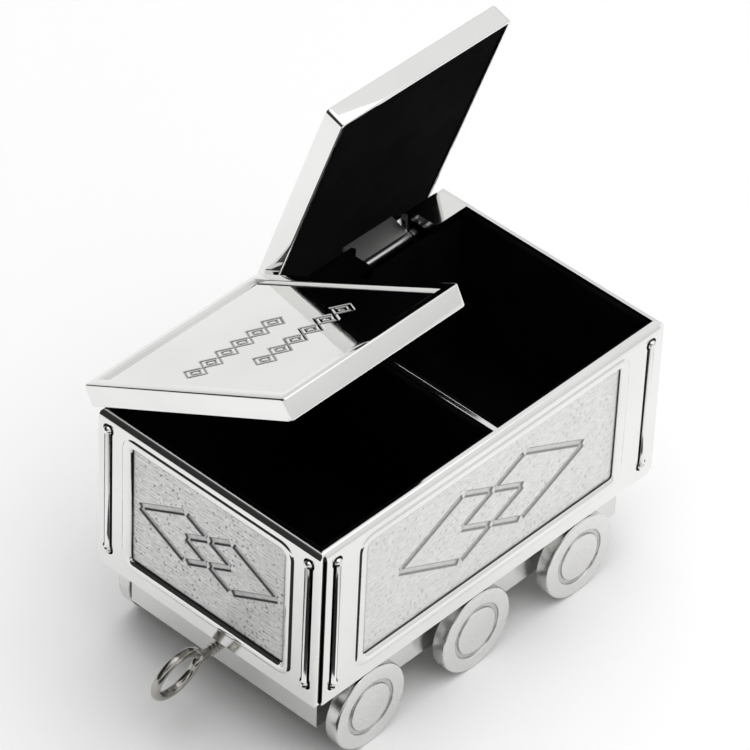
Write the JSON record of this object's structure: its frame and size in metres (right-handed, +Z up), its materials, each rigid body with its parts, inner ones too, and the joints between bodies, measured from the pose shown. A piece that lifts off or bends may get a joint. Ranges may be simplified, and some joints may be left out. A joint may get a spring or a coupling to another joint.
{
  "type": "mine cart keepsake box",
  "caption": "Plated metal keepsake box shaped like a small mine wagon, with hinged velvet-lined lids, a divided tub, rolling wheelsets and a screw-eye coupling.",
  "frame": {"origin": "on the surface the wheels stand on, under the middle of the tub", "axes": "+X runs along the wagon away from the screw eye, +Y points to the hinged long side, +Z is up"},
  "size_m": [0.0763, 0.0461, 0.0749],
  "materials": {
    "plated_shell": "polished silver-coloured plate",
    "bright_plate": "bright polished plate",
    "plated_frame": "plain polished plate",
    "velvet": "black short-pile velvet",
    "steel": "plain drawn steel wire"
  },
  "bodies": {
    "wagon": {"tub": "plated_shell", "rods_near_side": "bright_plate", "rods_far_side": "bright_plate", "rods_front_end": "bright_plate", "rods_rear_end": "bright_plate", "divider": "bright_plate", "liner_front": "velvet", "liner_rear": "velvet", "pin_front": "steel", "pin_rear": "steel", "bracket_front": "plated_frame", "bracket_rear": "plated_frame", "chassis": "plated_frame", "chassis_screw_1": "steel", "chassis_screw_2": "steel", "chassis_screw_3": "steel", "chassis_screw_4": "steel", "screw_eye": "steel", "eye_nut": "steel"},
    "front_lid": {"lid_front": "bright_plate", "board_front": "velvet", "tab_front": "bright_plate"},
    "rear_lid": {"lid_rear": "bright_plate", "board_rear": "velvet", "tab_rear": "bright_plate"},
    "wheelset_1": {"axle_1": "steel", "wheel_1_near": "bright_plate", "wheel_1_far": "bright_plate"},
    "wheelset_2": {"axle_2": "steel", "wheel_2_near": "bright_plate", "wheel_2_far": "bright_plate"},
    "wheelset_3": {"axle_3": "steel", "wheel_3_near": "bright_plate", "wheel_3_far": "bright_plate"}
  },
  "joints": [
    {"name": "front_lid_hinge", "type": "hinge", "parent": "wagon", "child": "front_lid", "pos_m": [-0.0195, 0.0181, 0.0366], "axis": [-1, 0, 0], "range_deg": [-29, 66]},
    {"name": "rear_lid_hinge", "type": "hinge", "parent": "wagon", "child": "rear_lid", "pos_m": [0.0195, 0.0181, 0.0366], "axis": [-1, 0, 0], "range_deg": [-71.5, 23.5]},
    {"name": "wheelset_1_spin", "type": "hinge", "parent": "wagon", "child": "wheelset_1", "pos_m": [-0.0224, 0, 0.0065], "axis": [0, 1, 0], "continuous": true},
    {"name": "wheelset_2_spin", "type": "hinge", "parent": "wagon", "child": "wheelset_2", "pos_m": [-0.0019, 0, 0.0065], "axis": [0, 1, 0], "continuous": true},
    {"name": "wheelset_3_spin", "type": "hinge", "parent": "wagon", "child": "wheelset_3", "pos_m": [0.0186, 0, 0.0065], "axis": [0, 1, 0], "continuous": true}
  ]
}
